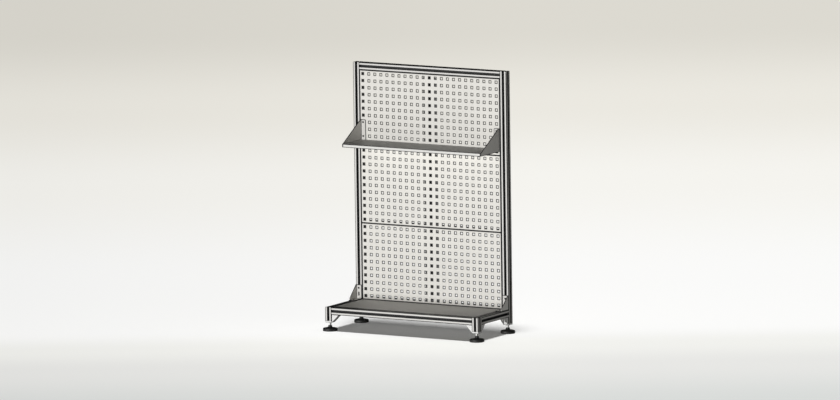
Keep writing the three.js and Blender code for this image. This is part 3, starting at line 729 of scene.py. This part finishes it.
def add_floor():
    """A wide pale floor that is brightest at the unit and greys away from it and to the left."""
    mesh = bpy.data.meshes.new("floor")
    corners = [(-1, -1), (1, -1), (1, 1), (-1, 1)]
    mesh.from_pydata([(x * FLOOR_HALF, y * FLOOR_HALF, 0) for x, y in corners], [], [(0, 1, 2, 3)])
    floor = bpy.data.objects.new("floor", mesh)
    bpy.context.scene.collection.objects.link(floor)
    n = Nodes("floor_paint")
    where = n.add("ShaderNodeTexCoord").outputs["Object"]
    away = (-math.sin(VIEW_AZIMUTH), math.cos(VIEW_AZIMUTH), 0.0)
    depth = n.add("ShaderNodeVectorMath", operation="DOT_PRODUCT")
    n.feed(depth.inputs[0], where)
    n.feed(depth.inputs[1], away)
    first, last = FLOOR_TONES[0][0], FLOOR_TONES[-1][0]
    ramp = n.add("ShaderNodeValToRGB")
    ramp.color_ramp.interpolation = "EASE"
    tones = ramp.color_ramp.elements
    while len(tones) < len(FLOOR_TONES):
        tones.new(0.5)
    for tone, (distance, colour) in zip(tones, FLOOR_TONES):
        tone.position = (distance - first) / (last - first)
        tone.color = (*colour, 1)
    n.feed(ramp.inputs["Fac"], n.spread(depth.outputs["Value"], 0.0, 1.0, (first, last)))
    across = n.add("ShaderNodeVectorMath", operation="DOT_PRODUCT")
    n.feed(across.inputs[0], where)
    n.feed(across.inputs[1], (math.cos(VIEW_AZIMUTH), math.sin(VIEW_AZIMUTH), 0.0))
    left, right, dull = FLOOR_DULL
    tone = n.scaled(ramp.outputs["Color"],
                    n.spread(across.outputs["Value"], dull, 1.0, (left, right)))
    seen = n.add("ShaderNodeLightPath").outputs["Is Camera Ray"]
    tint = n.blend(seen, (*FLOOR_BOUNCE, 1), tone)
    n.finish(Base_Color=tint, Roughness=0.9, Specular_IOR_Level=0.0,
             Emission_Color=tint, Emission_Strength=FLOOR_AMBIENT)
    mesh.materials.append(n.material)
    floor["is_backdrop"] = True
    return floor


def add_sun(name, azimuth, elevation, strength, softness, receivers, glint=1.0):
    """A soft light on the receivers; azimuth is in degrees from the front, rightwards."""
    data = bpy.data.lights.new(name, "SUN")
    data.energy, data.angle = strength, math.radians(softness)
    data.specular_factor = glint
    light = bpy.data.objects.new(name, data)
    a, e = math.radians(azimuth), math.radians(elevation)
    towards = Vector((math.sin(a) * math.cos(e), -math.cos(a) * math.cos(e), math.sin(e)))
    light.rotation_euler = towards.to_track_quat("Z", "Y").to_euler()
    bpy.context.scene.collection.objects.link(light)
    light.light_linking.receiver_collection = receivers
    return light


def add_world(above, below, seen):
    """Even studio ambience: above and below the horizon, and what the camera sees."""
    world = bpy.data.worlds.new("studio")
    world.use_nodes = True
    bpy.context.scene.world = world
    tree = world.node_tree
    tree.nodes.clear()
    up = tree.nodes.new("ShaderNodeSeparateXYZ")
    tree.links.new(tree.nodes.new("ShaderNodeTexCoord").outputs["Generated"], up.inputs["Vector"])
    ramp = tree.nodes.new("ShaderNodeMapRange")
    ramp.inputs["From Min"].default_value = -HORIZON
    ramp.inputs["From Max"].default_value = HORIZON
    ramp.inputs["To Min"].default_value = below
    ramp.inputs["To Max"].default_value = above
    tree.links.new(up.outputs["Z"], ramp.inputs["Value"])
    ambient = tree.nodes.new("ShaderNodeBackground")
    tree.links.new(ramp.outputs["Result"], ambient.inputs["Strength"])
    backdrop = tree.nodes.new("ShaderNodeBackground")
    backdrop.inputs["Color"].default_value = (*seen, 1)
    rays = tree.nodes.new("ShaderNodeLightPath")
    mix = tree.nodes.new("ShaderNodeMixShader")
    tree.links.new(rays.outputs["Is Camera Ray"], mix.inputs[0])
    tree.links.new(ambient.outputs[0], mix.inputs[1])
    tree.links.new(backdrop.outputs[0], mix.inputs[2])
    tree.links.new(mix.outputs[0], tree.nodes.new("ShaderNodeOutputWorld").inputs["Surface"])


def light_studio(floor):
    """A key from the front left, a weak light from behind, and the floor's own light from above.

    The key falls on the unit only, and the shelf, its brackets and the gussets don't shade it.
    """
    on_floor = bpy.data.collections.new("on_floor")
    on_floor.objects.link(floor)
    on_unit = bpy.data.collections.new("on_unit")
    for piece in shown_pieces():
        on_unit.objects.link(piece)
    shading = bpy.data.collections.new("shading")
    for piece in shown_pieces():
        if not piece.name.startswith(("shelf", "gusset")):
            shading.objects.link(piece)
    key = add_sun("key", azimuth=-12, elevation=0, strength=0.69 * math.pi, softness=16,
                  receivers=on_unit)
    key.light_linking.blocker_collection = shading
    add_sun("back_fill", azimuth=190, elevation=0, strength=0.25 * math.pi, softness=24,
            receivers=on_unit, glint=0.2)
    add_sun("floor_light", azimuth=20, elevation=84, strength=(1 - FLOOR_AMBIENT) * math.pi,
            softness=14, receivers=on_floor)
    add_world(above=0.04, below=0.3, seen=FLOOR_TONES[-1][1])
    settings = bpy.context.scene.view_settings
    settings.view_transform, settings.look = "Standard", "None"


# ------------------------------------------------------------------ the scene

add_camera()
finish_cad_nodes()
add_feet()
add_fasteners()
light_studio(add_floor())
